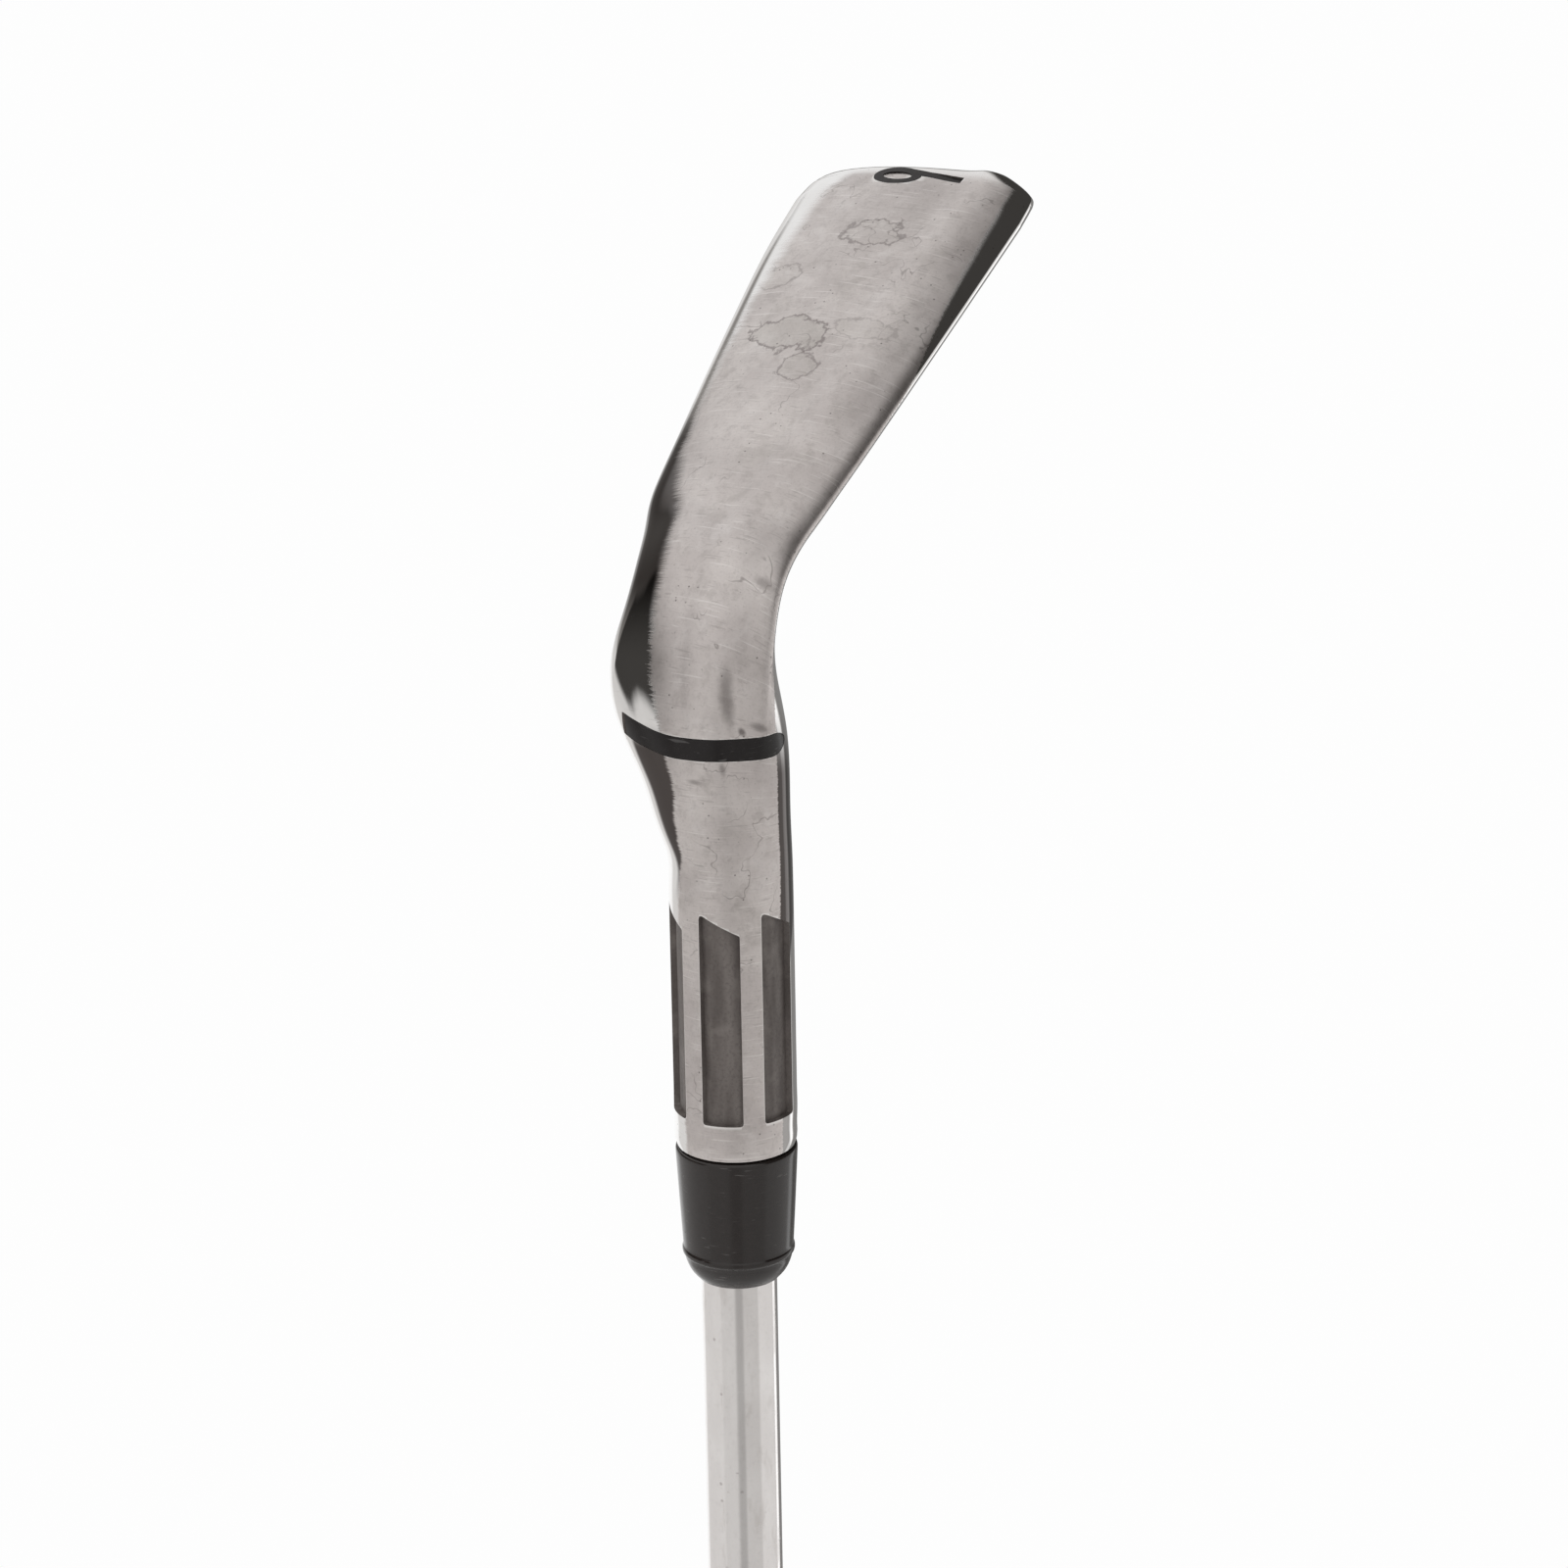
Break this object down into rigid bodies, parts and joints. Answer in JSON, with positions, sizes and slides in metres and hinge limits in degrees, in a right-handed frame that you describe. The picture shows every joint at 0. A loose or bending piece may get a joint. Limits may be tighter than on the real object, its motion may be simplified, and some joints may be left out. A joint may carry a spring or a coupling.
{
  "type": "iron golf club",
  "caption": "Right-handed cavity-back iron golf club: fluted hosel, black neck band, ferrule, stepped steel shaft and tapered rubber grip.",
  "frame": {"origin": "centre of the grip's butt end, on the shaft axis", "axes": "+Z runs along the shaft axis from the butt end of the grip to the head; +X is the toe side; -Y is the striking side of the head and +Y its back"},
  "size_m": [0.099, 0.0499, 0.9394],
  "materials": {
    "head_steel": "satin",
    "band_black": "gloss",
    "ferrule_black": "gloss",
    "shaft_chrome": "polished",
    "grip_rubber": "matte",
    "cap_rubber": "matte",
    "epoxy": "gloss",
    "tape": "matte",
    "brass": "machined",
    "band_foil": "satin",
    "badge_plate": "satin",
    "badge_rubber": "matte",
    "adhesive": "matte",
    "paint": "matte"
  },
  "bodies": {
    "root": {"head_body": "head_steel", "hosel_band_inlay": "band_black", "sole_numeral_fill": "paint", "badge_adhesive_pad": "adhesive", "badge_carrier": "badge_rubber", "badge_plate": "badge_plate", "ferrule": "ferrule_black", "shaft_tube": "shaft_chrome", "tip_weight_pin": "brass", "shaft_epoxy": "epoxy", "shaft_band": "band_foil", "grip_tape": "tape", "grip_sleeve": "grip_rubber", "grip_cap": "cap_rubber"}
  },
  "joints": []
}
